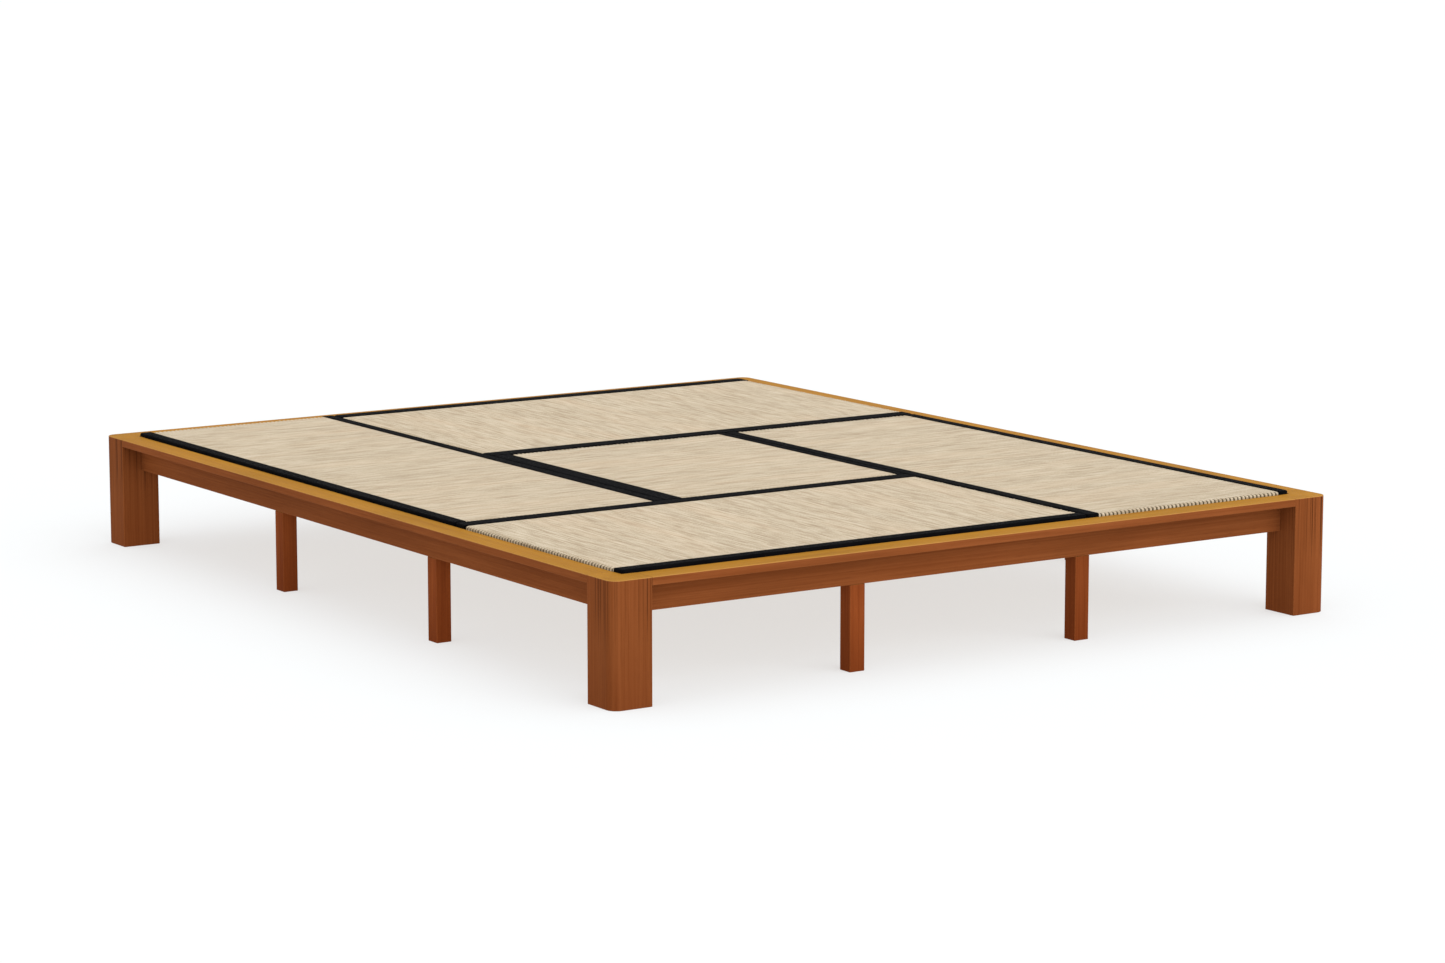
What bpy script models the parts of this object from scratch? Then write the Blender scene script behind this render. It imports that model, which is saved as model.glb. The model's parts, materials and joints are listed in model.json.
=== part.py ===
"""Low platform bed with a wooden frame and five lift-out tatami mats.

Metres, +Z up.  The origin is on the floor under the middle of the bed.
+X runs across the bed and +Y runs along it.  The front is the -Y end.
"""
import math

import bmesh
import bpy
from mathutils import Matrix, Vector

# Overall frame
MAT_FIELD_X = 1.600
MAT_FIELD_Y = 2.000
RIM_WIDTH = 0.055
BED_X = MAT_FIELD_X + 2 * RIM_WIDTH
BED_Y = MAT_FIELD_Y + 2 * RIM_WIDTH
BED_HEIGHT = 0.240

# Outer frame
POST_SIDE = 0.086
POST_CORNER_RADIUS = 0.022
RIM_THICKNESS = 0.016
APRON_RECESS = 0.046
APRON_THICKNESS = 0.033
APRON_BOTTOM = 0.168
MIDLEG_WIDTH = 0.034
MIDLEG_OFFSET_Y = 0.320
MIDLEG_OFFSET_X = 0.270
MIDLEG_PAIR_X = -0.010

# Inner frame
SLAT_COUNT = 9
SLAT_PITCH = 0.210
SLAT_WIDTH = 0.070
SLAT_THICKNESS = 0.018
LEDGER_WIDTH = 0.028
LEDGER_HEIGHT = 0.026
LEDGER_LENGTH = 1.780
BEAM_WIDTH = 0.045
BEAM_HEIGHT = 0.027
SEAT_CHEEK = 0.022
SEAT_DEPTH = 0.032
BLOCK_START = 0.096
BLOCK_END = 0.160
BLOCK_HEIGHT = 0.034

# Corner bolts
BOLT_RADIUS = 0.004
BOLT_DEPTH_IN_POST = 0.036
BOLT_WASHER_RADIUS = 0.011
BOLT_WASHER_THICKNESS = 0.0016
BOLT_HEAD_RADIUS = 0.0075
BOLT_HEAD_HEIGHT = 0.005

# Mats.  The four outer mats turn like a pinwheel round the middle one.
MAT_LEFT_WIDTH = 0.486
MAT_RIGHT_WIDTH = 0.520
MAT_FRONT_WIDTH = 0.606
MAT_BACK_WIDTH = 0.714
MAT_THICKNESS = 0.022
BORDER_WIDTH = 0.027
WIDE_BORDER_WIDTH = 0.040
SLIM_BORDER_WIDTH = 0.019
OTHER_BORDERS = {
    "mat_front_border_high": WIDE_BORDER_WIDTH,
    "mat_back_border_low": WIDE_BORDER_WIDTH,
    "mat_back_border_high": WIDE_BORDER_WIDTH,
    "mat_centre_border_low": WIDE_BORDER_WIDTH,
    "mat_centre_border_high": SLIM_BORDER_WIDTH,
}
BORDER_THICKNESS = 0.001
MAT_SIDE_CLEARANCE = 0.0012

# Fits and edges
GAP = 0.0003
HOLE_CLEARANCE = 0.0003
EDGE_ROUND = 0.0012
OVERCUT = 0.002
MERGE_DISTANCE = 0.00002
TINY = 0.00001

# Levels and lines worked out from the sizes above
HALF_X = BED_X / 2
HALF_Y = BED_Y / 2
SUPPORT_TOP = BED_HEIGHT - RIM_THICKNESS - GAP
SLAT_BOTTOM = SUPPORT_TOP - SLAT_THICKNESS
CARRIER_TOP = SLAT_BOTTOM - GAP
BEAM_BOTTOM = CARRIER_TOP - BEAM_HEIGHT
APRON_INNER = APRON_RECESS + APRON_THICKNESS
MAT_BOTTOM = SUPPORT_TOP + GAP
MAT_TOP = MAT_BOTTOM + MAT_THICKNESS

SIDES_X = {"left": -1, "right": 1}
SIDES_Y = {"front": -1, "back": 1}


def clear_scene():
    for old in list(bpy.data.objects):
        bpy.data.objects.remove(old, do_unlink=True)


def material(name, colour, roughness, metallic=0.0):
    """A plain Principled material."""
    made = bpy.data.materials.new(name)
    made.use_nodes = True
    shader = made.node_tree.nodes["Principled BSDF"]
    shader.inputs["Base Color"].default_value = (*colour, 1.0)
    shader.inputs["Roughness"].default_value = roughness
    shader.inputs["Metallic"].default_value = metallic
    made.diffuse_color = (*colour, 1.0)
    return made


def add_object(name, bm, finish, location=(0, 0, 0)):
    """Turn a bmesh into a named object with outward faces."""
    bmesh.ops.recalc_face_normals(bm, faces=bm.faces)
    mesh = bpy.data.meshes.new(name)
    bm.to_mesh(mesh)
    bm.free()
    mesh.materials.append(finish)
    obj = bpy.data.objects.new(name, mesh)
    obj.location = location
    bpy.context.scene.collection.objects.link(obj)
    return obj


def prism(name, outline, depth, finish, location=(0, 0, 0), turn=None):
    """Extrude a closed XY outline by depth along +Z, then turn it if asked."""
    bm = bmesh.new()
    base = [bm.verts.new((x, y, 0)) for x, y in outline]
    cap = bm.faces.new(base)
    grown = bmesh.ops.extrude_face_region(bm, geom=[cap])
    lifted = [item for item in grown["geom"] if isinstance(item, bmesh.types.BMVert)]
    bmesh.ops.translate(bm, verts=lifted, vec=(0, 0, depth))
    if turn is not None:
        bmesh.ops.transform(bm, matrix=turn, verts=bm.verts)
    return add_object(name, bm, finish, location)


def board(name, low, high, finish):
    """A straight piece between two corners, with its origin at its middle."""
    size = Vector(high) - Vector(low)
    middle = (Vector(high) + Vector(low)) / 2
    bm = bmesh.new()
    bmesh.ops.create_cube(bm, size=1.0)
    bmesh.ops.scale(bm, vec=size, verts=bm.verts)
    return add_object(name, bm, finish, middle)


def rod_mesh(radius, low, high, sides=20):
    """A cylinder along +Z between two heights."""
    bm = bmesh.new()
    middle = Matrix.Translation((0, 0, (low + high) / 2))
    bmesh.ops.create_cone(
        bm, cap_ends=True, segments=sides, radius1=radius, radius2=radius,
        depth=high - low, matrix=middle)
    return bm


def round_edges(obj, is_round):
    """Round the edges whose two ends pass a test.  Edges in tight joints stay sharp."""
    weight = obj.data.attributes.new("bevel_weight_edge", "FLOAT", "EDGE")
    points = [vertex.co for vertex in obj.data.vertices]
    for edge in obj.data.edges:
        first, second = (points[index] for index in edge.vertices)
        weight.data[edge.index].value = 1.0 if is_round(first, second) else 0.0
    bevel = obj.modifiers.new("edge_round", "BEVEL")
    bevel.width = EDGE_ROUND
    bevel.segments = 2
    bevel.limit_method = "WEIGHT"


def runs_along_x(first, second):
    return abs(first.x - second.x) > TINY


def runs_along_y(first, second):
    return abs(first.y - second.y) > TINY


def below_the_top(first, second):
    """For a leg whose top meets another piece.  Its origin is at its middle."""
    return min(first.z, second.z) < 0


def on_post_outside(first, second):
    """Foot, side corners and the outer top edge of a post, whose origin is its corner."""
    ends = [(abs(point.x), abs(point.y)) for point in (first, second)]
    if abs(first.z - second.z) > TINY:
        return max(ends[0]) > POST_SIDE - TINY
    if first.z < TINY:
        return True
    in_arc = all(max(end) < POST_CORNER_RADIUS + TINY for end in ends)
    on_x_face = all(end[0] < TINY for end in ends)
    on_y_face = all(end[1] < TINY for end in ends)
    return in_arc or on_x_face or on_y_face


def shade_round(obj):
    obj.data.shade_smooth()
    obj.data.set_sharp_from_angle(angle=math.radians(35))


def as_cutter(obj):
    obj.hide_render = True
    obj.display_type = "WIRE"


def cut(obj, cutter):
    boolean = obj.modifiers.new("cut", "BOOLEAN")
    boolean.operation = "DIFFERENCE"
    boolean.solver = "EXACT"
    boolean.object = cutter


def corner_turn(side_x, side_y):
    """Direction that points from a bed corner to the bed's middle, about Z."""
    return math.atan2(-side_y, -side_x)


def corners():
    """Name and outward signs of the bed's four corners."""
    for name_y, side_y in SIDES_Y.items():
        for name_x, side_x in SIDES_X.items():
            yield f"{name_y}_{name_x}", side_x, side_y


def notch_cutter(name, side_x, side_y, finish):
    """Box that clears a post's inner top corner for the mat beside it."""
    notch_at = (side_x * (HALF_X - RIM_WIDTH), side_y * (HALF_Y - RIM_WIDTH))
    reach = POST_SIDE - RIM_WIDTH + OVERCUT
    far = (notch_at[0] - side_x * reach, notch_at[1] - side_y * reach)
    low = (min(notch_at[0], far[0]), min(notch_at[1], far[1]), SUPPORT_TOP)
    high = (max(notch_at[0], far[0]), max(notch_at[1], far[1]), BED_HEIGHT + OVERCUT)
    notch = board(name + "_notch_cutter", low, high, finish)
    as_cutter(notch)
    return notch


def bolt_line(side_x, side_y):
    """Transform whose +Z runs from the bed's corner towards its middle."""
    height = CARRIER_TOP - BLOCK_HEIGHT / 2
    turn = Matrix.Rotation(corner_turn(side_x, side_y), 4, "Z")
    tip = Matrix.Rotation(math.radians(90), 4, "Y")
    place = Matrix.Translation((side_x * HALF_X, side_y * HALF_Y, height))
    return place @ turn @ tip


def bolt_hole_cutter(name, side_x, side_y, low, high, finish):
    bm = rod_mesh(BOLT_RADIUS + HOLE_CLEARANCE, low, high)
    bmesh.ops.transform(bm, matrix=bolt_line(side_x, side_y), verts=bm.verts)
    cutter = add_object(name, bm, finish)
    as_cutter(cutter)
    return cutter


def post_outline(side_x, side_y):
    """Square post with its outer vertical corner rounded."""
    radius = POST_CORNER_RADIUS
    steps = 10
    arc = []
    for step in range(steps + 1):
        angle = math.pi + step / steps * math.pi / 2
        arc.append((radius + radius * math.cos(angle), radius + radius * math.sin(angle)))
    corners = arc + [(POST_SIDE, 0), (POST_SIDE, POST_SIDE), (0, POST_SIDE)]
    flipped = [(-side_x * x, -side_y * y) for x, y in corners]
    return flipped


def make_posts(wood):
    post_corner = POST_SIDE * math.sqrt(2)
    deepest = post_corner - BOLT_DEPTH_IN_POST - GAP
    for corner, side_x, side_y in corners():
        name = corner + "_post"
        foot = (side_x * HALF_X, side_y * HALF_Y, 0)
        post = prism(name, post_outline(side_x, side_y), BED_HEIGHT, wood, foot)
        shade_round(post)
        round_edges(post, on_post_outside)
        cut(post, notch_cutter(name, side_x, side_y, wood))
        hole = bolt_hole_cutter(
            name + "_hole_cutter", side_x, side_y, deepest, post_corner + OVERCUT, wood)
        cut(post, hole)


def make_rims(wood):
    """Flat boards whose outer faces and tops are flush with the posts."""
    low_z = BED_HEIGHT - RIM_THICKNESS
    run_x = HALF_X - POST_SIDE - GAP
    run_y = HALF_Y - POST_SIDE - GAP
    for name, side in SIDES_Y.items():
        ends = sorted((side * HALF_Y, side * (HALF_Y - RIM_WIDTH)))
        rim = board(f"{name}_rim", (-run_x, ends[0], low_z), (run_x, ends[1], BED_HEIGHT), wood)
        round_edges(rim, runs_along_x)
    for name, side in SIDES_X.items():
        ends = sorted((side * HALF_X, side * (HALF_X - RIM_WIDTH)))
        rim = board(f"{name}_rim", (ends[0], -run_y, low_z), (ends[1], run_y, BED_HEIGHT), wood)
        round_edges(rim, runs_along_y)


def make_aprons(wood):
    """Upright boards set back under the rims, between the posts."""
    run_x = HALF_X - POST_SIDE - GAP
    run_y = HALF_Y - POST_SIDE - GAP
    for name, side in SIDES_Y.items():
        ends = sorted((side * (HALF_Y - APRON_RECESS), side * (HALF_Y - APRON_INNER)))
        low = (-run_x, ends[0], APRON_BOTTOM)
        apron = board(f"{name}_apron", low, (run_x, ends[1], SUPPORT_TOP), wood)
        round_edges(apron, runs_along_x)
    for name, side in SIDES_X.items():
        ends = sorted((side * (HALF_X - APRON_RECESS), side * (HALF_X - APRON_INNER)))
        low = (ends[0], -run_y, APRON_BOTTOM)
        apron = board(f"{name}_apron", low, (ends[1], run_y, SUPPORT_TOP), wood)
        round_edges(apron, runs_along_y)


def make_midlegs(wood):
    """Two slim legs under each apron, flush with its outer face."""
    top = APRON_BOTTOM - GAP
    half = MIDLEG_WIDTH / 2
    for name, side in SIDES_Y.items():
        ends = sorted((side * (HALF_Y - APRON_RECESS), side * (HALF_Y - APRON_INNER)))
        for place, sign in SIDES_X.items():
            middle = MIDLEG_PAIR_X + sign * MIDLEG_OFFSET_X
            low = (middle - half, ends[0], 0)
            leg = board(f"{name}_midleg_{place}", low, (middle + half, ends[1], top), wood)
            round_edges(leg, below_the_top)
    for name, side in SIDES_X.items():
        ends = sorted((side * (HALF_X - APRON_RECESS), side * (HALF_X - APRON_INNER)))
        for place, sign in SIDES_Y.items():
            middle = sign * MIDLEG_OFFSET_Y
            low = (ends[0], middle - half, 0)
            leg = board(f"{name}_midleg_{place}", low, (ends[1], middle + half, top), wood)
            round_edges(leg, below_the_top)


def make_ledgers(pine):
    """Battens on the inner faces of the long aprons.  The slats lie on them."""
    half = LEDGER_LENGTH / 2
    for name, side in SIDES_X.items():
        face = HALF_X - APRON_INNER - GAP
        ends = sorted((side * face, side * (face - LEDGER_WIDTH)))
        low = (ends[0], -half, CARRIER_TOP - LEDGER_HEIGHT)
        board(f"{name}_ledger", low, (ends[1], half, CARRIER_TOP), pine)


def make_centre_support(pine, wood):
    """Beam along the middle, its two seats on the end aprons, and its leg."""
    face = HALF_Y - APRON_INNER - GAP
    half = BEAM_WIDTH / 2
    end = face - GAP
    board("centre_beam", (-half, -end, BEAM_BOTTOM), (half, end, CARRIER_TOP), pine)
    leg_top = BEAM_BOTTOM - GAP
    leg_half = MIDLEG_WIDTH / 2
    leg = board("centre_leg", (-leg_half, -leg_half, 0), (leg_half, leg_half, leg_top), wood)
    round_edges(leg, below_the_top)
    inner = half + GAP
    outer = inner + SEAT_CHEEK
    floor = BEAM_BOTTOM - GAP
    outline = [
        (-outer, APRON_BOTTOM), (outer, APRON_BOTTOM), (outer, CARRIER_TOP),
        (inner, CARRIER_TOP), (inner, floor), (-inner, floor),
        (-inner, CARRIER_TOP), (-outer, CARRIER_TOP)]
    upright = Matrix.Rotation(math.radians(90), 4, "X")
    prism("front_beam_seat", outline, SEAT_DEPTH, pine, (0, -face + SEAT_DEPTH, 0), upright)
    prism("back_beam_seat", outline, SEAT_DEPTH, pine, (0, face, 0), upright)


def make_slats(pine):
    half_x = HALF_X - APRON_INNER - 2 * GAP
    half_w = SLAT_WIDTH / 2
    for index in range(SLAT_COUNT):
        middle = (index - (SLAT_COUNT - 1) / 2) * SLAT_PITCH
        low = (-half_x, middle - half_w, SLAT_BOTTOM)
        board(f"slat_{index + 1}", low, (half_x, middle + half_w, SUPPORT_TOP), pine)


def make_corner_blocks(pine):
    """Blocks across the inner corners that the bolts pull against."""
    near = APRON_INNER + GAP
    outline = [(near, BLOCK_START), (BLOCK_START, near), (BLOCK_END, near), (near, BLOCK_END)]
    low, high = block_faces()
    for corner, side_x, side_y in corners():
        name = corner + "_corner_block"
        turned = [(-side_x * x, -side_y * y) for x, y in outline]
        place = (side_x * HALF_X, side_y * HALF_Y, CARRIER_TOP - BLOCK_HEIGHT)
        block = prism(name, turned, BLOCK_HEIGHT, pine, place)
        hole = bolt_hole_cutter(
            name + "_cutter", side_x, side_y, low - OVERCUT, high + OVERCUT, pine)
        cut(block, hole)


def block_faces():
    """Distances from the bed's corner to the corner block's two slanted faces."""
    near = APRON_INNER + GAP
    low = (near + BLOCK_START) / math.sqrt(2)
    high = (near + BLOCK_END) / math.sqrt(2)
    return low, high


def bolt_profile():
    """Half profile of the bolt, its washer and its head along its line."""
    start = POST_SIDE * math.sqrt(2) - BOLT_DEPTH_IN_POST
    seat = block_faces()[1] + GAP
    washer = seat + BOLT_WASHER_THICKNESS
    end = washer + BOLT_HEAD_HEIGHT
    return [
        (0, start), (BOLT_RADIUS, start), (BOLT_RADIUS, seat), (BOLT_WASHER_RADIUS, seat),
        (BOLT_WASHER_RADIUS, washer), (BOLT_HEAD_RADIUS, washer), (BOLT_HEAD_RADIUS, end),
        (0, end)]


def make_bolts(steel):
    """Bolts through the corner blocks into the posts' inner edges."""
    for corner, side_x, side_y in corners():
        bm = bmesh.new()
        line = [bm.verts.new((radius, 0, along)) for radius, along in bolt_profile()]
        for first, second in zip(line, line[1:]):
            bm.edges.new((first, second))
        bmesh.ops.spin(
            bm, geom=list(bm.verts) + list(bm.edges), cent=(0, 0, 0), axis=(0, 0, 1),
            angle=2 * math.pi, steps=20)
        bmesh.ops.remove_doubles(bm, verts=bm.verts, dist=MERGE_DISTANCE)
        bmesh.ops.transform(bm, matrix=bolt_line(side_x, side_y), verts=bm.verts)
        bolt = add_object(corner + "_corner_bolt", bm, steel)
        shade_round(bolt)


def mat_cells():
    """Each mat's low and high X and Y, and the axis its borders run along."""
    west = -MAT_FIELD_X / 2
    east = MAT_FIELD_X / 2
    south = -MAT_FIELD_Y / 2
    north = MAT_FIELD_Y / 2
    seam_west = west + MAT_LEFT_WIDTH
    seam_east = east - MAT_RIGHT_WIDTH
    seam_south = south + MAT_FRONT_WIDTH
    seam_north = north - MAT_BACK_WIDTH
    return {
        "mat_left": (west, seam_west, seam_south, north, "Y"),
        "mat_front": (west, seam_east, south, seam_south, "X"),
        "mat_right": (seam_east, east, south, seam_north, "Y"),
        "mat_back": (seam_west, east, seam_north, north, "X"),
        "mat_centre": (seam_west, seam_east, seam_south, seam_north, "Y"),
    }


def border_outline(sign, half, width):
    """L-shaped section of a cloth border, in the plane across its length."""
    outer = sign * half
    skin = sign * (half - BORDER_THICKNESS)
    inner = sign * (half - width)
    thickness = MAT_THICKNESS + GAP
    return [
        (outer, 0), (outer, thickness + BORDER_THICKNESS),
        (inner, thickness + BORDER_THICKNESS), (inner, thickness), (skin, thickness), (skin, 0)]


def along_axis(axis, length):
    """Turn that stands a section up and runs it along X or Y, centred."""
    stand = Matrix.Rotation(math.radians(90), 4, "X")
    centre = Matrix.Translation((0, length / 2, 0))
    spin = Matrix.Rotation(math.radians(-90 if axis == "X" else 0), 4, "Z")
    return spin @ centre @ stand


def make_mat(name, cell, rush, cloth):
    """A rush-covered board with a cloth border along each of two sides."""
    low_x, high_x, low_y, high_y, axis = cell
    low = Vector((low_x + MAT_SIDE_CLEARANCE, low_y + MAT_SIDE_CLEARANCE, MAT_BOTTOM))
    high = Vector((high_x - MAT_SIDE_CLEARANCE, high_y - MAT_SIDE_CLEARANCE, MAT_TOP))
    across = 0 if axis == "Y" else 1
    half = (high[across] - low[across]) / 2
    length = high[1 - across] - low[1 - across]
    skin = BORDER_THICKNESS + GAP
    low[across] += skin
    high[across] -= skin
    core = board(name, low, high, rush)
    for side, sign in (("low", -1), ("high", 1)):
        border_name = f"{name}_border_{side}"
        width = OTHER_BORDERS.get(border_name, BORDER_WIDTH)
        border = prism(
            border_name, border_outline(sign, half, width), length, cloth,
            (0, 0, -MAT_THICKNESS / 2), along_axis(axis, length))
        border.parent = core


def main():
    clear_scene()
    wood = material("stained_wood", (0.33, 0.10, 0.035), 0.42)
    pine = material("plain_softwood", (0.62, 0.45, 0.26), 0.6)
    steel = material("zinc_plated_steel", (0.62, 0.62, 0.60), 0.35, 1.0)
    rush = material("woven_rush", (0.66, 0.56, 0.39), 0.8)
    cloth = material("black_border_cloth", (0.012, 0.014, 0.018), 0.85)
    make_posts(wood)
    make_rims(wood)
    make_aprons(wood)
    make_midlegs(wood)
    make_ledgers(pine)
    make_centre_support(pine, wood)
    make_slats(pine)
    make_corner_blocks(pine)
    make_bolts(steel)
    for name, cell in mat_cells().items():
        make_mat(name, cell, rush, cloth)
    bpy.context.view_layer.update()


main()
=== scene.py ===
"""Looks for a low wooden platform bed with five tatami mats."""
import json
import math

import bpy
import numpy as np
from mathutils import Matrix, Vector


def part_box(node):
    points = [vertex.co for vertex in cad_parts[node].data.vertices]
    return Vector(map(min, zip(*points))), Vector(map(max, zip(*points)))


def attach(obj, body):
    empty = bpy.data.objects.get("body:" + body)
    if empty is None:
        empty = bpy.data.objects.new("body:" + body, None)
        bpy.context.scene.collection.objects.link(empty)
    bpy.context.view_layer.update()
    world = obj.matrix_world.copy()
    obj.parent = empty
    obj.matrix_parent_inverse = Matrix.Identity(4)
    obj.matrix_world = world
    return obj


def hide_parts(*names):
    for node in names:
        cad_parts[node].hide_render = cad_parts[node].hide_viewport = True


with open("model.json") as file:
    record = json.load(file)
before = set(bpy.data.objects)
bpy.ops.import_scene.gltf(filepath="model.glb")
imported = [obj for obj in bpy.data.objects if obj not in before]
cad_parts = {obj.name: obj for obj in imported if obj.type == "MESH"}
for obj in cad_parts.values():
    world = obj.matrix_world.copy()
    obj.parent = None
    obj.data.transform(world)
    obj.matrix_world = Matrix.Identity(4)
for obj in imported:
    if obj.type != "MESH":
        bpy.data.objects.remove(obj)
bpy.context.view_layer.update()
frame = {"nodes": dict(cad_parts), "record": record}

# Sizes are in metres.  Each mat is given with the axis that its borders run along.
MATS = {"mat_left": "Y", "mat_front": "X", "mat_right": "Y", "mat_back": "X", "mat_centre": "Y"}
AXIS_INDEX = {"X": 0, "Y": 1}

# Rush cover
COLUMN_PITCH = 0.010
COLUMN_STEPS = 6
COLUMN_JITTER = (-0.0005, 0.0002)
ROW_STEP = 0.006
TOP_RELIEF = 0.0003
END_RELIEF = 0.0040
END_SHOULDER = 0.8
RELIEF_FADE = 0.014
GAP_REACH = 0.006
RUSH_EDGE_RADIUS = 0.0045
RUSH_EDGE_STEPS = (0, 0.001, 0.0025, 0.005, 0.008, 0.016)
RUSH_INSET = 0.0014
RUSH_FOOT_CHAMFER = 0.001
END_ROWS = 5
EDGE_ARC_POINTS = 6
END_BULGE = 0.0011
BULGE_RAMP = 0.002
FABRIC_SWELL = 0.0008
RUSH_CORNER_RADIUS = 0.008
RUSH_CORNER_REACH = 0.03
RUSH_WAVE = 0.00025
RUSH_BUMP = 0.0004
RUSH_SEED = 10
HEM_LAP = 0.004
STRAND_PITCH = 0.0028

# Cloth borders
CLOTH_THICKNESS = 0.0012
CLOTH_EDGE_RADIUS = 0.0036
CLOTH_CORNER_RADIUS = 0.009
CLOTH_STEP = 0.006
CLOTH_EDGE_STEPS = (0, 0.0009, 0.0018, 0.0028, 0.0038, 0.0055, 0.0075)
CLOTH_WAVE = 0.0001
CLOTH_BUMP = 0.00025
CLOTH_SEED = 30
THREAD_PITCH = 0.0009
STITCH_PITCH = 0.024
STITCH_INSET = 0.006
STITCH_REACH = 0.0035
STITCH_DEPTH = 0.00025
TOP_BAND = 0.0008
TOP_RAMP = 0.0006
HEM_START = 0.012
HEM_WAVE = 0.0004
SMOOTH_ANGLE = math.radians(50)
MICRONS_PER_METRE = 1e6
SMALLEST_LENGTH = 1e-9


# ---------------------------------------------------------------- node helpers

class Graph:
    """Small helper that adds nodes to one material and links them."""

    def __init__(self, name):
        self.material = bpy.data.materials.new(name)
        self.material.use_nodes = True
        self.tree = self.material.node_tree
        self.shader = self.tree.nodes["Principled BSDF"]

    def node(self, kind, **settings):
        made = self.tree.nodes.new(kind)
        for key, value in settings.items():
            setattr(made, key, value)
        return made

    def link(self, source, target):
        self.tree.links.new(source, target)

    def math(self, operation, first, second=None):
        made = self.node("ShaderNodeMath", operation=operation)
        for socket, value in zip(made.inputs, (first, second)):
            self.feed(socket, value)
        return made.outputs[0]

    def feed(self, socket, value):
        """Link a socket, or set it to a constant.  None leaves it alone."""
        if value is None:
            return
        if isinstance(value, (int, float, tuple)):
            socket.default_value = value
        else:
            self.link(value, socket)

    def position(self):
        return self.node("ShaderNodeTexCoord").outputs["Object"]

    def split(self, vector):
        """The X, Y and Z outputs of a vector."""
        made = self.node("ShaderNodeSeparateXYZ")
        self.link(vector, made.inputs[0])
        return made.outputs

    def facing(self):
        """X, Y and Z of the surface's direction."""
        return self.split(self.node("ShaderNodeTexCoord").outputs["Normal"])

    def scaled(self, scale, offset):
        """Object coordinates times a scale for each axis."""
        mapping = self.node("ShaderNodeMapping")
        mapping.inputs["Scale"].default_value = scale
        mapping.inputs["Location"].default_value = offset
        self.link(self.position(), mapping.inputs["Vector"])
        return mapping.outputs[0]

    def noise(self, scale, detail, roughness=0.55, distortion=0.0, offset=(0, 0, 0)):
        made = self.node("ShaderNodeTexNoise")
        made.inputs["Scale"].default_value = 1.0
        made.inputs["Detail"].default_value = detail
        made.inputs["Roughness"].default_value = roughness
        made.inputs["Distortion"].default_value = distortion
        self.link(self.scaled(scale, offset), made.inputs["Vector"])
        return made.outputs["Fac"]

    def spread(self, value, low, high, to_low=0.0, to_high=1.0):
        """Map a value's range to another one, clamped."""
        made = self.node("ShaderNodeMapRange")
        self.feed(made.inputs["Value"], value)
        made.inputs["From Min"].default_value = low
        made.inputs["From Max"].default_value = high
        made.inputs["To Min"].default_value = to_low
        made.inputs["To Max"].default_value = to_high
        return made.outputs[0]

    def mix(self, factor, first, second, blend="MIX"):
        made = self.node("ShaderNodeMix", data_type="RGBA", blend_type=blend)
        self.feed(made.inputs["Factor"], factor)
        for name, value in (("A", first), ("B", second)):
            socket = [item for item in made.inputs if item.name == name and item.type == "RGBA"][0]
            self.feed(socket, (*value, 1.0) if isinstance(value, tuple) else value)
        return [item for item in made.outputs if item.type == "RGBA"][0]

    def bump(self, height, distance, strength):
        made = self.node("ShaderNodeBump")
        made.inputs["Distance"].default_value = distance
        made.inputs["Strength"].default_value = strength
        self.link(height, made.inputs["Height"])
        return made.outputs[0]

    def set(self, **values):
        """Constant values on the shader's own sockets."""
        names = {
            "metallic": "Metallic", "roughness": "Roughness", "specular": "Specular IOR Level",
            "sheen": "Sheen Weight", "sheen_roughness": "Sheen Roughness"}
        for key, value in values.items():
            self.shader.inputs[names[key]].default_value = value

    def drive(self, name, value):
        self.link(value, self.shader.inputs[name])


def along(axis, grain, across):
    """A scale that is grain along one axis and across on the other two."""
    return tuple(grain if name == axis else across for name in "XYZ")


# ---------------------------------------------------------------- wood

STAIN_SIDE = ((0.220, 0.065, 0.0190), (0.164, 0.044, 0.0115))
STAIN_LEG = ((0.232, 0.057, 0.0145), (0.155, 0.033, 0.0078))
# Posts and legs are darker towards the floor.
FOOT_DARK_TONE = (0.105, 0.018, 0.0035)
# Painted light: the lighter, golden copy of the stain given to faces that look up.
PAINTED_LIGHT_TOP = ((0.370, 0.178, 0.0230), (0.290, 0.125, 0.0140))
# Painted highlight: a pale gold line on the bevel between the top and the sides.
PAINTED_EDGE_HIGHLIGHT = (0.520, 0.285, 0.080)
STAIN_WORN = (0.290, 0.098, 0.030)
STAIN_LINE = (0.050, 0.013, 0.004)
FOOT_HEIGHT = 0.120
FOOT_DARKENING = {"post": 0.25, "leg": 0.50}
VESSEL_FADE = (0.150, 0.215)
WORN_EDGE_RADIUS = 0.0022
STAIN_BUMP = 0.00012
PINE = ((0.66, 0.47, 0.27), (0.50, 0.31, 0.15))
PINE_KNOT = (0.20, 0.09, 0.035)
PINE_PORE = (0.30, 0.17, 0.08)
PINE_BUMP = 0.00015
STEEL = ((0.60, 0.60, 0.58), (0.44, 0.44, 0.43))
STEEL_BUMP = 0.00004
WOOD_LOOKS = 3


def wood_grain(graph, axis, seed):
    """Grain tone from 0 to 1, fine pores and a slow board tone, along one axis."""
    offset = (seed * 3.1, seed * 1.7, seed * 2.3)
    bands = graph.noise(along(axis, 1.3, 38), 4, 0.6, 0.6, offset)
    streaks = graph.noise(along(axis, 3.5, 330), 3, 0.6, 0.0, offset)
    pores = graph.noise(along(axis, 32, 1500), 2, 0.5, 0.0, offset)
    tone = graph.math("ADD", graph.math("MULTIPLY", bands, 0.35), graph.math("MULTIPLY", streaks, 0.65))
    return graph.spread(tone, 0.36, 0.64), graph.spread(pores, 0.60, 0.74), bands


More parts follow.
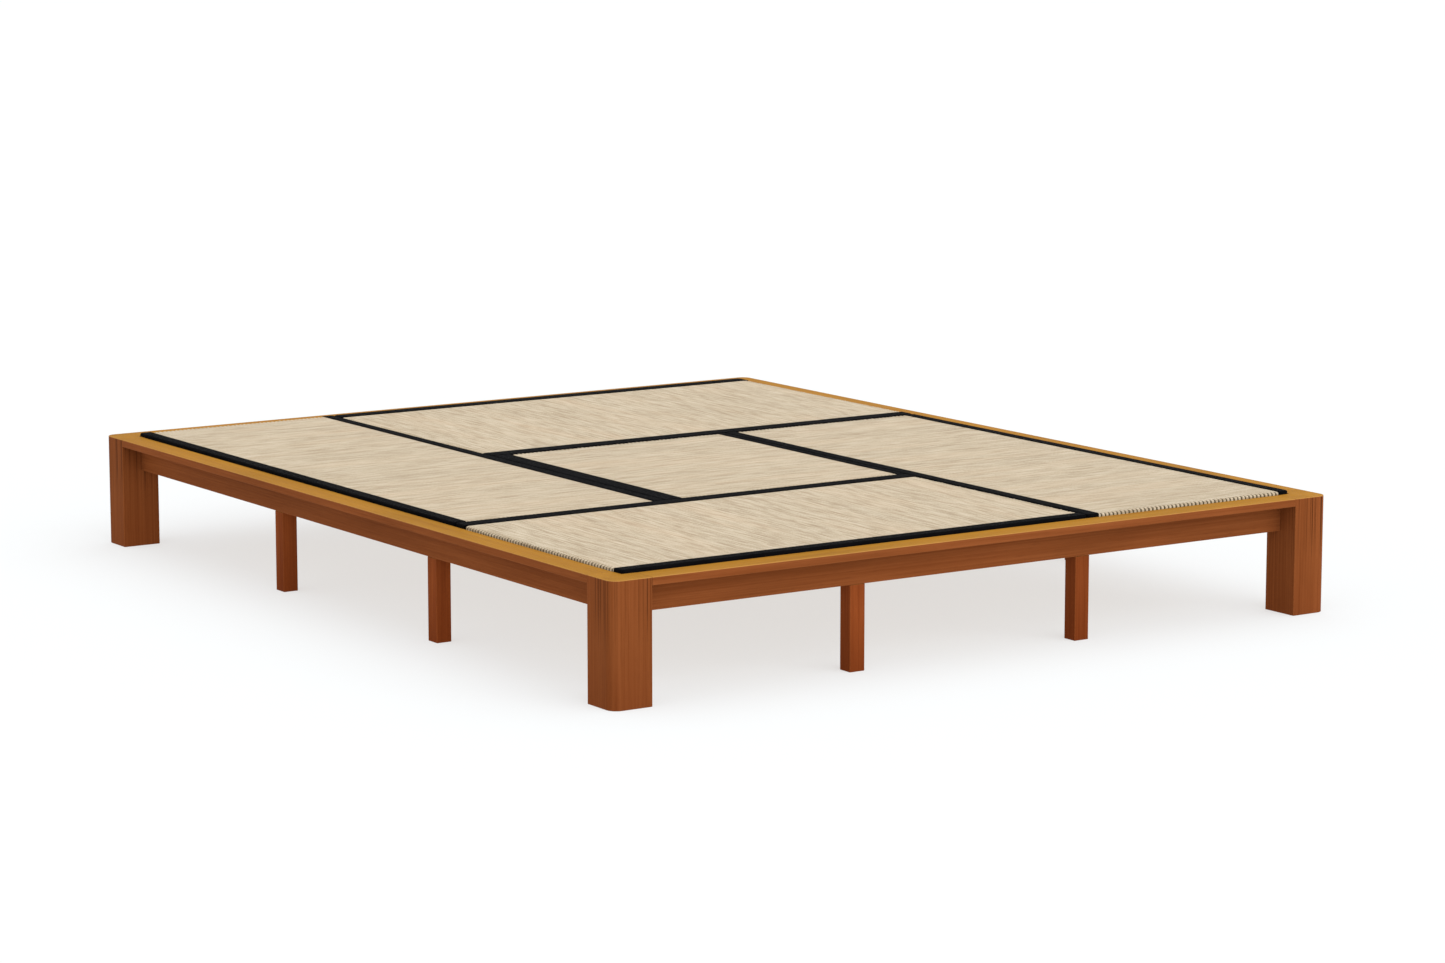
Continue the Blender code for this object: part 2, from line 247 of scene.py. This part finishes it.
def stained_wood(axis, seed, kind):
    """Red-brown stained wood; faces that look up get a golden copy of the stain as painted light from
    above, with a painted highlight along the top edge.

    A leg is a little redder than a board, and posts and legs darken towards the floor.
    """
    graph = Graph(f"stained_wood_{kind}_{axis.lower()}_{seed}")
    side = STAIN_LEG if kind == "leg" else STAIN_SIDE
    tone, pores, bands = wood_grain(graph, axis, seed)
    upright = graph.facing()["Z"]
    # Painted light: faces that look up get a lighter, golden copy of the stain, as if lit from above.
    painted_top_light = graph.spread(upright, 0.45, 0.85)
    colour = graph.mix(painted_top_light, graph.mix(tone, *side), graph.mix(tone, *PAINTED_LIGHT_TOP))
    blotch = graph.noise(along(axis, 2.2, 7), 2, 0.5, 0.3, (seed, 2 * seed, 5))
    colour = graph.mix(1.0, colour, graph.spread(blotch, 0.3, 0.7, 0.88, 1.12), "MULTIPLY")
    colour = graph.mix(graph.math("MULTIPLY", pores, 0.30), colour, STAIN_LINE)
    if kind == "post":
        on_side = graph.spread(upright, 0.5, 0.1)
        colour = graph.mix(graph.math("MULTIPLY", vessel_lines(graph, seed), on_side), colour, STAIN_LINE)
    # Posts and legs are darker towards the floor.
    if kind != "board":
        above_floor = graph.split(graph.position())["Z"]
        foot = graph.spread(above_floor, FOOT_HEIGHT, 0.0, 0.0, FOOT_DARKENING[kind])
        colour = graph.mix(foot, colour, FOOT_DARK_TONE)
    # Painted highlight: a pale gold line where the rounded edge turns from the sides to the top.
    low_side = graph.spread(upright, 0.15, 0.45)
    high_side = graph.spread(upright, 0.98, 0.85)
    edge_highlight_mask = graph.math("MULTIPLY", low_side, high_side)
    colour = graph.mix(graph.math("MULTIPLY", edge_highlight_mask, 0.8), colour, PAINTED_EDGE_HIGHLIGHT)
    colour = graph.mix(graph.math("MULTIPLY", edge_mask(graph), 0.35), colour, STAIN_WORN)
    graph.drive("Base Color", colour)
    graph.set(specular=0.006)
    rough = graph.spread(tone, 0.0, 1.0, 0.50, 0.40)
    graph.drive("Roughness", graph.math("ADD", rough, graph.math("MULTIPLY", pores, 0.15)))
    height = graph.math("SUBTRACT", graph.math("MULTIPLY", bands, 0.4), pores)
    graph.drive("Normal", graph.bump(height, STAIN_BUMP, 0.8))
    return graph.material


def vessel_lines(graph, seed):
    """Dark hairlines in groups, which grow faint below the top third of a post."""
    lines = graph.spread(graph.noise((380, 380, 1.2), 1, 0.4, 0.0, (seed, seed, seed)), 0.58, 0.62)
    groups = graph.spread(graph.noise((30, 30, 1.0), 2, 0.5, 0.0, (seed, 3 * seed, 1)), 0.36, 0.52)
    above_floor = graph.split(graph.position())["Z"]
    ragged = graph.math("MULTIPLY", graph.noise((60, 60, 3), 2), 0.08)
    fade = graph.spread(graph.math("ADD", above_floor, ragged), *VESSEL_FADE, 0.18, 1.0)
    strength = graph.math("MULTIPLY", lines, groups)
    return graph.math("MULTIPLY", graph.math("MULTIPLY", strength, fade), 0.78)


def edge_mask(graph):
    """1 on rounded edges and 0 on flat faces."""
    rounded = graph.node("ShaderNodeBevel", samples=4)
    rounded.inputs["Radius"].default_value = WORN_EDGE_RADIUS
    geometry = graph.node("ShaderNodeNewGeometry")
    compare = graph.node("ShaderNodeVectorMath", operation="DOT_PRODUCT")
    graph.link(rounded.outputs[0], compare.inputs[0])
    graph.link(geometry.outputs["Normal"], compare.inputs[1])
    return graph.spread(compare.outputs["Value"], 0.995, 0.90)


def softwood(axis, seed):
    """Plain planed softwood with growth rings and small knots."""
    graph = Graph(f"softwood_{axis.lower()}_{seed}")
    tone, pores, bands = wood_grain(graph, axis, seed)
    colour = graph.mix(tone, *PINE)
    cells = graph.node("ShaderNodeTexVoronoi")
    cells.inputs["Scale"].default_value = 1.0
    graph.link(graph.scaled(along(axis, 2.4, 9), (seed, seed, seed)), cells.inputs["Vector"])
    knots = graph.spread(cells.outputs["Distance"], 0.10, 0.05)
    colour = graph.mix(graph.math("MULTIPLY", knots, 0.8), colour, PINE_KNOT)
    colour = graph.mix(graph.math("MULTIPLY", pores, 0.3), colour, PINE_PORE)
    graph.drive("Base Color", colour)
    graph.set(specular=0.12)
    graph.drive("Roughness", graph.spread(tone, 0.0, 1.0, 0.66, 0.56))
    graph.drive("Normal", graph.bump(graph.math("SUBTRACT", bands, pores), PINE_BUMP, 0.8))
    return graph.material


def plated_steel():
    """Brushed, plated steel."""
    graph = Graph("plated_steel")
    brushed = graph.noise((220, 220, 1400), 3, 0.6)
    colour = graph.mix(graph.spread(brushed, 0.3, 0.7), *STEEL)
    graph.drive("Base Color", colour)
    graph.set(metallic=1.0)
    graph.drive("Roughness", graph.spread(brushed, 0.3, 0.7, 0.28, 0.42))
    graph.drive("Normal", graph.bump(brushed, STEEL_BUMP, 0.6))
    return graph.material


# ---------------------------------------------------------------- rush and cloth

RUSH_LIGHT = (0.570, 0.490, 0.368)
RUSH_MID = (0.462, 0.380, 0.270)
RUSH_DARK = (0.310, 0.230, 0.142)
RUSH_WARM = (0.475, 0.358, 0.242)
# Painted shade for the gaps between the woven columns at the raw ends.
RUSH_GAP_SHADE = (0.095, 0.074, 0.040)
CLOTH_BLACK = ((0.0012, 0.0013, 0.0016), (0.0026, 0.0026, 0.0031))
CLOTH_LINT = (0.014, 0.014, 0.016)


def woven_rush(name, axis, run, first, pitch):
    """Rush whose strands run across the borders.

    axis is the borders' direction.  The woven columns run along it between the two
    raw ends in run.  The first column starts at the place first, and they repeat at
    the given pitch.
    """
    graph = Graph(f"woven_rush_{name}")
    strand_axis = "X" if axis == "Y" else "Y"
    place = graph.split(graph.position())
    column = graph.math("DIVIDE", graph.math("SUBTRACT", place[strand_axis], first), pitch)
    half_column = graph.math("MULTIPLY", column, 2.0)
    parity = graph.math("MULTIPLY", graph.math("FLOOR", half_column), 0.5)
    phase = graph.math("ADD", graph.math("DIVIDE", place[axis], STRAND_PITCH), parity)
    ridge = graph.math("ABSOLUTE", graph.math("SINE", graph.math("MULTIPLY", phase, math.pi)))
    dive = graph.math("ABSOLUTE", graph.math("SINE", graph.math("MULTIPLY", half_column, math.pi)))
    weave = graph.math("MULTIPLY", ridge, graph.math("POWER", dive, 0.35))

    fine = graph.noise(along(strand_axis, 22, 600), 2, 0.6)
    streak = graph.noise(along(strand_axis, 6, 200), 2, 0.6)
    dash = graph.noise(along(strand_axis, 14, 340), 2, 0.6, 0.0, (3, 5, 0))
    broad = graph.noise(along(strand_axis, 2, 14), 3, 0.6)
    tone = graph.math("ADD", graph.math("MULTIPLY", fine, 0.40), graph.math("MULTIPLY", streak, 0.22))
    tone = graph.math("ADD", tone, graph.math("MULTIPLY", dash, 0.38))
    colour = graph.mix(graph.spread(tone, 0.38, 0.51), RUSH_DARK, RUSH_MID)
    colour = graph.mix(graph.spread(tone, 0.48, 0.60), colour, RUSH_LIGHT)
    colour = graph.mix(graph.spread(broad, 0.50, 0.72, 0.0, 0.35), colour, RUSH_WARM)
    colour = graph.mix(1.0, colour, graph.spread(broad, 0.3, 0.7, 0.96, 1.04), "MULTIPLY")
    # Painted shade: darker in the troughs between strands and where the columns dive.
    colour = graph.mix(1.0, colour, graph.spread(weave, 0.0, 0.5, 0.82, 1.0), "MULTIPLY")
    # Painted shade: the gaps between the columns at the raw ends are darkened.
    gap_shade = end_gap_shade(graph, axis, run, place[axis], column)
    colour = graph.mix(graph.math("MULTIPLY", gap_shade, 0.90), colour, RUSH_GAP_SHADE)
    graph.drive("Base Color", colour)
    graph.set(specular=0.04, sheen=0.03, sheen_roughness=0.5)
    graph.drive("Roughness", graph.spread(fine, 0.3, 0.7, 0.62, 0.80))
    height = graph.math("ADD", weave, graph.math("MULTIPLY", fine, 0.35))
    graph.drive("Normal", graph.bump(height, RUSH_BUMP, 0.7))
    return graph.material


def end_gap_shade(graph, axis, run, place, column):
    """1 in the gaps between the woven columns at a mat's two raw ends, where painted shade darkens the
    rush.
    """
    end_face = graph.spread(graph.math("ABSOLUTE", graph.facing()[axis]), 0.25, 0.65)
    from_middle = graph.math("ABSOLUTE", graph.math("SUBTRACT", place, sum(run) / 2))
    from_end = graph.math("SUBTRACT", (run[1] - run[0]) / 2, from_middle)
    top_end = graph.spread(from_end, 2 * GAP_REACH, GAP_REACH)
    crest = graph.math("ABSOLUTE", graph.math("SINE", graph.math("MULTIPLY", column, math.pi)))
    face_gap_shade = graph.math("MULTIPLY", graph.spread(crest, 0.80, 0.45), end_face)
    top_gap_shade = graph.math("MULTIPLY", graph.spread(crest, 0.70, 0.35), top_end)
    return graph.math("MAXIMUM", face_gap_shade, top_gap_shade)


def border_cloth():
    """Black ribbed cotton tape."""
    graph = Graph("border_cloth")
    place = graph.split(graph.position())
    threads = []
    for name in "XYZ":
        turn = graph.math("MULTIPLY", place[name], math.pi / THREAD_PITCH)
        threads.append(graph.math("ABSOLUTE", graph.math("SINE", turn)))
    weave = graph.math("MULTIPLY", graph.math("ADD", threads[0], threads[2]), threads[1])
    lint = graph.noise((160, 160, 160), 4, 0.7)
    faded = graph.noise((9, 9, 9), 3, 0.6)
    colour = graph.mix(graph.spread(faded, 0.3, 0.7), *CLOTH_BLACK)
    colour = graph.mix(graph.spread(lint, 0.58, 0.80, 0.0, 0.22), colour, CLOTH_LINT)
    # Painted sheen and shade: lighter on the thread crests, darker between the threads.
    colour = graph.mix(1.0, colour, graph.spread(weave, 0.0, 1.2, 0.35, 2.00), "MULTIPLY")
    graph.drive("Base Color", colour)
    graph.set(specular=0.012, sheen=0.001, sheen_roughness=0.4)
    graph.drive("Roughness", graph.spread(lint, 0.3, 0.7, 0.62, 0.80))
    graph.drive("Normal", graph.bump(weave, CLOTH_BUMP, 0.7))
    return graph.material


# ---------------------------------------------------------------- mesh helpers

def mesh_object(name, points, faces, material):
    """A smooth-shaded object whose clear edges stay sharp."""
    mesh = bpy.data.meshes.new(name)
    mesh.from_pydata([tuple(point) for point in points], [], [tuple(face) for face in faces])
    mesh.validate()
    mesh.materials.append(material)
    mesh.shade_smooth()
    mesh.set_sharp_from_angle(angle=SMOOTH_ANGLE)
    obj = bpy.data.objects.new(name, mesh)
    bpy.context.scene.collection.objects.link(obj)
    return obj


def to_world(axis, run, across, height):
    """Points from a mat's own directions: run is along the borders."""
    if axis == "Y":
        return np.stack([across, run, height], axis=-1)
    return np.stack([run, across, height], axis=-1)


def smooth_wave(values, seed, count, slowest):
    """A smooth curve between about -1 and 1, made of a few sines."""
    rng = np.random.default_rng(seed)
    total = np.zeros_like(values)
    for index in range(count):
        turn = values * 2 * math.pi / slowest * (index + 1)
        total += np.sin(turn + rng.uniform(0, 2 * math.pi)) / (index + 1)
    return total / 1.8


def steps_between(low, high, pitch):
    """Evenly spaced places from low to high, about a pitch apart."""
    return np.linspace(low, high, max(2, int(round((high - low) / pitch)) + 1))


# ---------------------------------------------------------------- rush mats

def mat_limits(name, axis):
    """Limits of a mat with its borders, swollen a little at the sides.

    They are run, across, and the heights of the bottom, the mat's top and the borders' top.
    """
    lows, highs = zip(*(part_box(node) for node in (name, name + "_border_low", name + "_border_high")))
    swell = np.array([FABRIC_SWELL, FABRIC_SWELL, 0.0])
    low = np.min(np.array(lows), axis=0) - swell
    high = np.max(np.array(highs), axis=0) + swell
    run, across = AXIS_INDEX[axis], 1 - AXIS_INDEX[axis]
    return (low[run], high[run]), (low[across], high[across]), (low[2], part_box(name)[1][2], high[2])


def rush_profile(run, bottom, top):
    """Closed outline of the mat's long section, with outward directions and relief depths."""
    low, high = run[0] + RUSH_INSET, run[1] - RUSH_INSET
    radius = RUSH_EDGE_RADIUS
    flat = steps_between(low + radius, high - radius, ROW_STEP)
    end_heights = np.linspace(bottom + RUSH_FOOT_CHAMFER, top - radius, END_ROWS)[:-1]
    arc = np.linspace(0, math.pi / 2, EDGE_ARC_POINTS)
    points, normals, relief = [], [], []

    def add(point, normal, depth):
        points.append(point)
        normals.append(normal)
        relief.append(depth)

    for height in end_heights:
        add((low, height), (-1, 0), END_RELIEF)
    for angle in arc[:-1]:
        normal = (-math.cos(angle), math.sin(angle))
        add((low + radius + radius * normal[0], top - radius + radius * normal[1]), normal, END_RELIEF)
    for place in flat:
        near = min(place - flat[0], flat[-1] - place)
        share = max(0.0, 1 - near / RELIEF_FADE) ** 2
        add((place, top), (0, 1), TOP_RELIEF + (END_RELIEF * END_SHOULDER - TOP_RELIEF) * share)
    for angle in arc[::-1][1:]:
        normal = (math.cos(angle), math.sin(angle))
        add((high - radius + radius * normal[0], top - radius + radius * normal[1]), normal, END_RELIEF)
    for height in end_heights[::-1]:
        add((high, height), (1, 0), END_RELIEF)
    add((high - RUSH_FOOT_CHAMFER, bottom), (0, -1), 0.0)
    add((low + RUSH_FOOT_CHAMFER, bottom), (0, -1), 0.0)
    return np.array(points), np.array(normals, float), np.array(relief)


def rush_stations(across, hems):
    """Places across a mat: a few under each border, and COLUMN_STEPS for each woven column.

    Also each place's count of columns, 1 where it is woven, and the first column's start
    with the columns' pitch.
    """
    low, high = across[0] + RUSH_INSET, across[1] - RUSH_INSET
    edge = np.array(RUSH_EDGE_STEPS)
    plain = np.zeros(len(edge))
    first, last = low + hems[0], high - hems[1]
    columns = max(1, int(round((last - first) / COLUMN_PITCH)))
    middle = np.linspace(first, last, columns * COLUMN_STEPS + 1)
    share = (middle - first) / (last - first) * columns
    phase = np.concatenate([plain, share, plain])
    places = np.concatenate([low + edge, middle, (high - edge)[::-1]])
    woven = np.concatenate([plain, np.ones(len(middle)), plain])
    return places, phase, woven, (first, (last - first) / columns)


def border_width(node, axis):
    """Width of a cloth border on top of its mat."""
    low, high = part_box(node)
    across = 1 - AXIS_INDEX[axis]
    return high[across] - low[across]


def rush_mat(name, axis, seed):
    """A mat's rush cover: a closed mesh with a rounded tooth for each column at its raw ends."""
    run, across, (bottom, top, _) = mat_limits(name, axis)
    profile, normals, relief = rush_profile(run, bottom, top)
    hems = [border_width(f"{name}_border_{side}", axis) - HEM_LAP for side in ("low", "high")]
    places, phase, woven, (first_column, pitch) = rush_stations(across, hems)
    material = woven_rush(name, axis, run, first_column, pitch)
    rng = np.random.default_rng(seed)

    # Each column arches up between two gaps, uneven and bulging at the raw ends.
    part = 2 * (phase - np.floor(phase)) - 1
    arch = np.sqrt(np.clip(1 - part * part, 0, 1))
    column = np.floor(phase).astype(int)
    jitter = rng.uniform(*COLUMN_JITTER, column.max() + 2)[column] * woven
    depth = relief[:, None] * (1 - arch * woven)[None, :]
    at_end = (relief >= END_RELIEF)[:, None]
    depth = depth - np.where(at_end, jitter[None, :], 0)
    last_column = first_column + pitch * column.max()
    past_hem = np.minimum(places - first_column, last_column - places) - HEM_LAP
    bulge = END_BULGE * np.clip(past_hem / BULGE_RAMP, 0, 1)
    depth = depth - np.abs(normals[:, 0:1]) * bulge[None, :]

    # The four corners are rounded in plan.
    near_edge = np.minimum(places - places[0], places[-1] - places)
    pull = np.clip(RUSH_CORNER_RADIUS - near_edge, 0, None)
    corner = RUSH_CORNER_RADIUS - np.sqrt(np.clip(RUSH_CORNER_RADIUS ** 2 - pull ** 2, 0, None))
    side = np.sign(profile[:, 0] - sum(run) / 2)
    from_end = np.minimum(profile[:, 0] - run[0], run[1] - profile[:, 0]) - RUSH_INSET
    end_share = np.clip(1 - from_end / RUSH_CORNER_REACH, 0, 1)
    flow = profile[:, 0:1] - normals[:, 0:1] * depth - (side * end_share)[:, None] * corner[None, :]
    height = profile[:, 1:2] - normals[:, 1:2] * depth

    # The top has slow, shallow waves.
    top_rows = (normals[:, 1] > 0.99)[:, None]
    wave_across = smooth_wave(places, seed, 4, 0.5)[None, :]
    wave_along = smooth_wave(profile[:, 0], seed + 50, 4, 0.6)[:, None]
    swell = RUSH_WAVE * wave_across * wave_along
    height = height + np.where(top_rows, swell, 0)

    spread_across = np.broadcast_to(places[None, :], height.shape)
    points = to_world(axis, flow, spread_across, height).reshape(-1, 3)
    rows, columns = height.shape
    index = np.arange(rows * columns).reshape(rows, columns)
    here, there = index, np.roll(index, -1, axis=0)
    quads = np.stack([here[:, :-1], there[:, :-1], there[:, 1:], here[:, 1:]], axis=-1).reshape(-1, 4)
    faces = [list(face) for face in quads]
    faces.append(list(index[:, 0])[::-1])
    faces.append(list(index[:, -1]))
    if axis == "Y":
        faces = [face[::-1] for face in faces]
    return mesh_object(name + "_rush", points, faces, material)


# ---------------------------------------------------------------- cloth borders

def graded(low, high, pitch, fine_low=True, fine_high=True):
    """Evenly spaced places with extra ones close to the ends."""
    extra = np.array(CLOTH_EDGE_STEPS)
    lows = low + extra if fine_low else np.array([low])
    highs = high - extra if fine_high else np.array([high])
    middle = steps_between(lows.max(), highs.min(), pitch)
    return np.unique(np.round(np.concatenate([lows, middle, highs]), 6))


def box_patch(run, insets, heights):
    """Top, outer side and two ends of a border, as four grids of quads.

    Directions: run along the border, insets inward from its outer side.
    """
    points, faces = [], []

    def add(first, second, build, flip):
        start = len(points)
        for one in first:
            for two in second:
                points.append(build(one, two))
        for row in range(len(first) - 1):
            for step in range(len(second) - 1):
                corner = start + row * len(second) + step
                quad = [corner, corner + len(second), corner + len(second) + 1, corner + 1]
                faces.append(quad[::-1] if flip else quad)

    top = heights[-1]
    add(run, insets, lambda place, inset: (place, inset, top), False)
    add(run, heights, lambda place, height: (place, 0.0, height), False)
    add(insets, heights, lambda inset, height: (run[0], inset, height), True)
    add(insets, heights, lambda inset, height: (run[-1], inset, height), False)
    return np.array(points), faces


def merge(points, faces):
    """Join points that share a place."""
    keys = np.round(points * MICRONS_PER_METRE).astype(np.int64)
    _, first, inverse = np.unique(keys, axis=0, return_index=True, return_inverse=True)
    inverse = inverse.reshape(-1)
    return points[first], [[int(inverse[point]) for point in face] for face in faces]


def rounded(first, second):
    """Scale two distances onto an arc where both are positive, and say where that is."""
    both = (first > 0) & (second > 0)
    length = np.where(both, np.hypot(first, second), 1.0)
    largest = np.maximum(first, second)
    first_round = np.where(both, first / length * largest, first)
    second_round = np.where(both, second / length * largest, second)
    return both, first_round, second_round


def round_border(points, run_low, run_high, top):
    """Round the two outer corners in plan, then the outer top edge."""
    radius, edge = CLOTH_CORNER_RADIUS, CLOTH_EDGE_RADIUS
    run, inset, height = points.T
    at_low_end = run < (run_low + run_high) / 2
    reach = np.minimum(run - run_low, run_high - run)
    from_end, from_side = np.clip(radius - reach, 0, None), np.clip(radius - inset, 0, None)
    corner, from_end, from_side = rounded(from_end, from_side)
    reach = np.where(corner, radius - from_end, reach)
    inset = np.where(corner, radius - from_side, inset)

    from_centre = np.hypot(from_end, from_side)
    inward = np.where(corner, radius - from_centre, np.minimum(inset, reach))
    size = np.maximum(from_centre, SMALLEST_LENGTH)
    by_end = ~corner & (reach < inset)
    out_end = np.where(corner, from_end / size, np.where(by_end, 1.0, 0.0))
    out_side = np.where(corner, from_side / size, np.where(by_end, 0.0, 1.0))

    side = np.clip(edge - inward, 0, None)
    rise = np.clip(height - (top - edge), 0, None)
    both, new_side, new_rise = rounded(side, rise)
    shift = np.where(both, side - new_side, 0)
    height = np.where(both, top - edge + new_rise, height)
    inset = inset + out_side * shift
    reach = reach + out_end * shift
    run = np.where(at_low_end, run_low + reach, run_high - reach)
    return np.stack([run, inset, height], axis=-1)


def cloth_border(name, mat, axis, outward, material, seed):
    """A folded strip of cloth round one long side of a mat, and its flat size."""
    run, across, (bottom, _, top) = mat_limits(mat, axis)
    width = border_width(name, axis)
    places = graded(run[0], run[1], CLOTH_STEP)
    inward = graded(0.0, width, CLOTH_STEP, True, False)
    heights = graded(bottom, top, CLOTH_STEP, False, True)
    points, faces = merge(*box_patch(places, inward, heights))
    points = round_border(points, run[0], run[1], top)

    on_top = np.clip((points[:, 2] - (top - TOP_BAND)) / TOP_RAMP, 0, 1)
    stitch = np.exp(-((points[:, 1] - (width - STITCH_INSET)) / STITCH_REACH) ** 2)
    pull = 0.5 + 0.5 * np.cos(points[:, 0] * 2 * math.pi / STITCH_PITCH)
    points[:, 2] -= on_top * (STITCH_DEPTH * stitch * pull ** 3)
    points[:, 2] += on_top * CLOTH_WAVE * smooth_wave(points[:, 0], seed, 6, 0.35)
    hem = np.clip((points[:, 1] - HEM_START) / (width - HEM_START), 0, 1)
    points[:, 1] += hem * HEM_WAVE * smooth_wave(points[:, 0], seed + 9, 7, 0.5)

    start = across[0] if outward < 0 else across[1]
    place = start - outward * points[:, 1]
    world = to_world(axis, points[:, 0], place, points[:, 2])
    mirrored = (outward > 0) == (axis == "X")
    if mirrored:
        faces = [face[::-1] for face in faces]
    obj = mesh_object(name + "_cloth", world, faces, material)
    skin = obj.modifiers.new("thickness", "SOLIDIFY")
    skin.thickness = CLOTH_THICKNESS
    skin.offset = -1
    cut_width = width + (top - bottom)
    cut_length = run[1] - run[0] + 2 * (top - bottom)
    return obj, (float(cut_width), float(cut_length))


def make_mats():
    """The soft pieces of all five mats, in place of their plain CAD solids."""
    cloth = border_cloth()
    for number, (name, axis) in enumerate(MATS.items()):
        core = rush_mat(name, axis, RUSH_SEED + number)
        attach(core, name)
        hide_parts(name)
        for side, outward in (("low", -1), ("high", 1)):
            node = f"{name}_border_{side}"
            border, flat = cloth_border(node, name, axis, outward, cloth, CLOTH_SEED + number)
            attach(border, name)
            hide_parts(node)


# ---------------------------------------------------------------- frame finish

def grain_axis(node):
    """A board's grain runs along its longest side."""
    low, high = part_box(node)
    return "XYZ"[int(np.argmax(np.array(high) - np.array(low)))]


def stained_kind(node):
    """Which of the three stained looks a piece has."""
    if node.endswith("_post"):
        return "post"
    return "leg" if "midleg" in node else "board"


def wanted_look(slot, node, number):
    """The material function for a CAD node with its settings, or None for a mat's node."""
    grain = (grain_axis(node), number % WOOD_LOOKS)
    if slot == "stained_wood":
        return stained_wood, (*grain, stained_kind(node))
    if slot == "plain_softwood":
        return softwood, grain
    if slot == "plated_steel":
        return plated_steel, ()
    return None


def finish_frame():
    """Give each wooden or steel CAD node its detailed material."""
    slots = {item["node"]: item["material_slot"] for item in frame["record"]["subparts"]}
    made = {}
    for number, (node, obj) in enumerate(sorted(frame["nodes"].items())):
        look = wanted_look(slots[node], node, number)
        if look is None:
            continue
        if look not in made:
            build, settings = look
            made[look] = build(*settings)
        obj.data.materials.clear()
        obj.data.materials.append(made[look])


# ---------------------------------------------------------------- stage

FLOOR_GLOW = 0.650
FLOOR_COLOUR = (0.240, 0.261, 0.269)
FLOOR_TINT = (1.0, 0.98, 0.972)
FLOOR_HALF = 80.0
FLOOR_LEVEL = -0.0002
SKY_LEVEL = 0.85
LAMPS = {
    "key": {"from": (0.30, -0.05, 1.20), "strength": 1.30, "spread": math.radians(90)},
    "fill": {"from": (0.12, -1.00, 0.30), "strength": 1.95, "spread": math.radians(70)},
    "side": {"from": (-1.00, -0.10, 0.20), "strength": 0.45, "spread": math.radians(60)},
}
CAMERA_PLACE = (-4.7249, -7.2249, 1.6132)
CAMERA_HEADING = math.radians(56.342)
CAMERA_DROP = math.radians(9.287)
CAMERA_LENS = 102.75
CAMERA_SENSOR = 36.0
CAMERA_FAR = 400


def make_floor():
    """A wide white floor that glows, so that only the bed's soft shade shows on it."""
    mesh = bpy.data.meshes.new("studio_floor")
    signs = ((-1, -1), (1, -1), (1, 1), (-1, 1))
    corners = [(x * FLOOR_HALF, y * FLOOR_HALF, FLOOR_LEVEL) for x, y in signs]
    mesh.from_pydata(corners, [], [(0, 1, 2, 3)])
    material = bpy.data.materials.new("studio_floor")
    material.use_nodes = True
    tree = material.node_tree
    shader = tree.nodes["Principled BSDF"]
    shader.inputs["Base Color"].default_value = (*FLOOR_COLOUR, 1)
    shader.inputs["Roughness"].default_value = 0.9
    shader.inputs["Specular IOR Level"].default_value = 0.0
    shader.inputs["Emission Color"].default_value = (*FLOOR_TINT, 1)
    shader.inputs["Emission Strength"].default_value = FLOOR_GLOW
    mesh.materials.append(material)
    floor = bpy.data.objects.new("studio_floor", mesh)
    bpy.context.scene.collection.objects.link(floor)


def make_light():
    """An even white surround and three soft lamps."""
    world = bpy.data.worlds.new("studio")
    world.use_nodes = True
    background = world.node_tree.nodes["Background"]
    background.inputs["Color"].default_value = (1, 1, 1, 1)
    background.inputs["Strength"].default_value = SKY_LEVEL
    bpy.context.scene.world = world
    for name, lamp in LAMPS.items():
        data = bpy.data.lights.new(name, "SUN")
        data.energy = lamp["strength"]
        data.angle = lamp["spread"]
        sun = bpy.data.objects.new(name, data)
        sun.rotation_euler = Vector(lamp["from"]).to_track_quat("Z", "Y").to_euler()
        bpy.context.scene.collection.objects.link(sun)


def make_camera():
    """The photo's point of view."""
    data = bpy.data.cameras.new("camera")
    data.lens = CAMERA_LENS
    data.sensor_width = CAMERA_SENSOR
    data.clip_end = CAMERA_FAR
    camera = bpy.data.objects.new("camera", data)
    camera.location = CAMERA_PLACE
    ahead = Vector((
        math.cos(CAMERA_HEADING) * math.cos(CAMERA_DROP),
        math.sin(CAMERA_HEADING) * math.cos(CAMERA_DROP),
        -math.sin(CAMERA_DROP)))
    camera.rotation_euler = ahead.to_track_quat("-Z", "Y").to_euler()
    bpy.context.scene.collection.objects.link(camera)
    bpy.context.scene.camera = camera


make_camera()
make_light()
make_floor()
finish_frame()
make_mats()
bpy.context.scene.view_settings.view_transform = "Standard"
